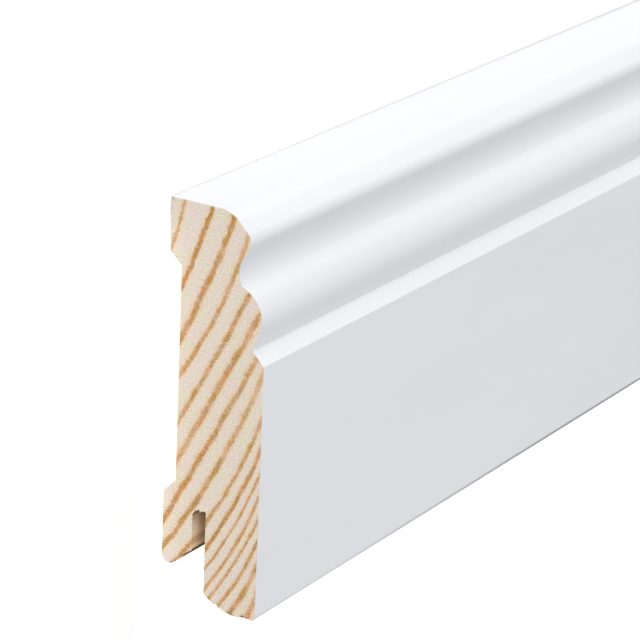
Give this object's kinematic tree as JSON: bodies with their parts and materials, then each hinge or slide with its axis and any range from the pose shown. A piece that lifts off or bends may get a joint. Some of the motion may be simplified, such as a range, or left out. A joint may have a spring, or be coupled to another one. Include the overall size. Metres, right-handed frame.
{
  "type": "skirting board",
  "caption": "Length of moulded softwood skirting board with a rounded top, a hollow and a bead over a flat face, a relieved back and a clip groove along its lower edge",
  "frame": {"origin": "under the middle of the board, on the plane that its back rests on", "axes": "+X along the board, +Y across it to its moulded top edge, +Z out of its front face, which is up as it lies"},
  "size_m": [2.4, 0.08, 0.021],
  "materials": {
    "white_wood": "satin white finish on the front and top; bare planed softwood on the back, in the groove and on the sawn ends"
  },
  "bodies": {
    "root": {"skirting_board": "white_wood"}
  },
  "joints": []
}
